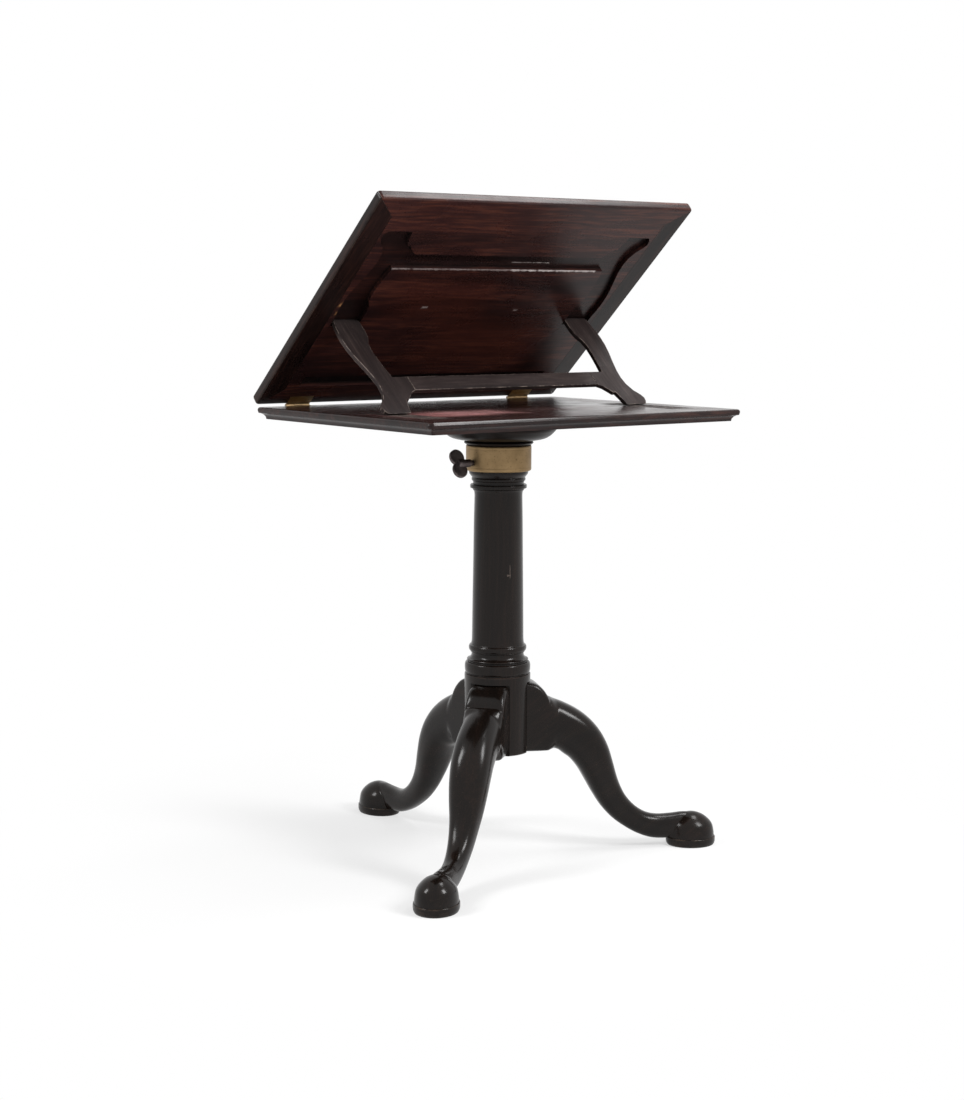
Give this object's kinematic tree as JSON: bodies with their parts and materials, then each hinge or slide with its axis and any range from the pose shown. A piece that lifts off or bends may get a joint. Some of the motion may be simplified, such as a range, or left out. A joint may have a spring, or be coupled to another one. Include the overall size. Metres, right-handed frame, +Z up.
{
  "type": "tilting reading table",
  "caption": "Mahogany tripod reading table: telescopic turned column, turning moulded bed, and a hinged leaf that a folding prop holds at a slope, with a rising book ledge.",
  "frame": {"origin": "on the floor, at the middle of the plan of the whole table at rest", "axes": "+Z up, +X along the long edge of the top and away from the thumbscrew, +Y towards the hinged edge, where the reader sits"},
  "size_m": [0.6353, 0.6026, 1.0467],
  "materials": {
    "polished_mahogany": "dark French-polished mahogany, nearly black in the hollows",
    "leaf_mahogany": "red-brown mahogany, semi-matt, grain along the long edge",
    "dry_mahogany": "unpolished grey-brown mahogany, matt",
    "aged_brass": "tarnished brass",
    "dark_iron": "blackened iron",
    "steel": "worn steel"
  },
  "bodies": {
    "stand": {"column": "polished_mahogany", "column_plug": "polished_mahogany", "tripod_plate": "dark_iron", "plate_screw_1": "dark_iron", "plate_screw_2": "dark_iron", "plate_screw_3": "dark_iron", "leg_front": "polished_mahogany", "leg_right": "polished_mahogany", "leg_rear": "polished_mahogany", "collar": "aged_brass"},
    "clamp": {"clamp_shoe": "aged_brass"},
    "thumbscrew": {"thumbscrew": "dark_iron"},
    "mast": {"post": "dry_mahogany", "swivel_pin": "dark_iron"},
    "top": {"boss": "polished_mahogany", "boss_screw_1": "steel", "boss_screw_2": "steel", "boss_screw_3": "steel", "boss_screw_4": "steel", "bed": "leaf_mahogany", "rack_left": "dry_mahogany", "rack_right": "dry_mahogany", "hinge_left_lower": "aged_brass", "hinge_left_pin": "steel", "hinge_left_lower_screw_1": "aged_brass", "hinge_left_lower_screw_2": "aged_brass", "hinge_right_lower": "aged_brass", "hinge_right_pin": "steel", "hinge_right_lower_screw_1": "aged_brass", "hinge_right_lower_screw_2": "aged_brass"},
    "leaf": {"leaf_board": "leaf_mahogany", "leaf_clamp_left": "leaf_mahogany", "leaf_clamp_right": "leaf_mahogany", "strut_pin_left": "steel", "strut_pin_right": "steel", "hinge_left_upper": "aged_brass", "hinge_left_upper_screw_1": "aged_brass", "hinge_left_upper_screw_2": "aged_brass", "hinge_right_upper": "aged_brass", "hinge_right_upper_screw_1": "aged_brass", "hinge_right_upper_screw_2": "aged_brass"},
    "prop": {"strut_left": "dry_mahogany", "strut_right": "dry_mahogany", "crossbar": "dry_mahogany"},
    "ledge": {"book_ledge": "leaf_mahogany"}
  },
  "joints": [
    {"name": "mast_slide", "type": "slide", "parent": "stand", "child": "mast", "axis": [0, 0, 1], "range_m": [0, 0.22]},
    {"name": "top_swivel", "type": "hinge", "parent": "mast", "child": "top", "pos_m": [-0.01265, -0.06632, 0.6709], "axis": [0, 0, 1], "continuous": true},
    {"name": "leaf_tilt", "type": "hinge", "parent": "top", "child": "leaf", "pos_m": [-0.01265, 0.17168, 0.7218], "axis": [-1, 0, 0], "range_deg": [-41.6, 10.4]},
    {"name": "prop_fold", "type": "hinge", "parent": "leaf", "child": "prop", "pos_m": [-0.01265, 0.02559, 0.85699], "axis": [1, 0, 0], "range_deg": [-83.2, 20.8]},
    {"name": "ledge_slide", "type": "slide", "parent": "leaf", "child": "ledge", "axis": [0, 0.6639, 0.7478], "range_m": [-0.0082, 0]},
    {"name": "clamp_travel", "type": "slide", "parent": "stand", "child": "clamp", "axis": [-1, 0, 0], "range_m": [0, 0.003]},
    {"name": "thumbscrew_turn", "type": "hinge", "parent": "clamp", "child": "thumbscrew", "pos_m": [-0.01265, -0.06632, 0.637], "axis": [-1, 0, 0], "range_deg": [0, 720]}
  ],
  "couplings": [
    {"joint": "prop_fold", "follows": "leaf_tilt", "ratio": 2},
    {"joint": "clamp_travel", "follows": "thumbscrew_turn", "m_per_rad": 0.00023873}
  ]
}
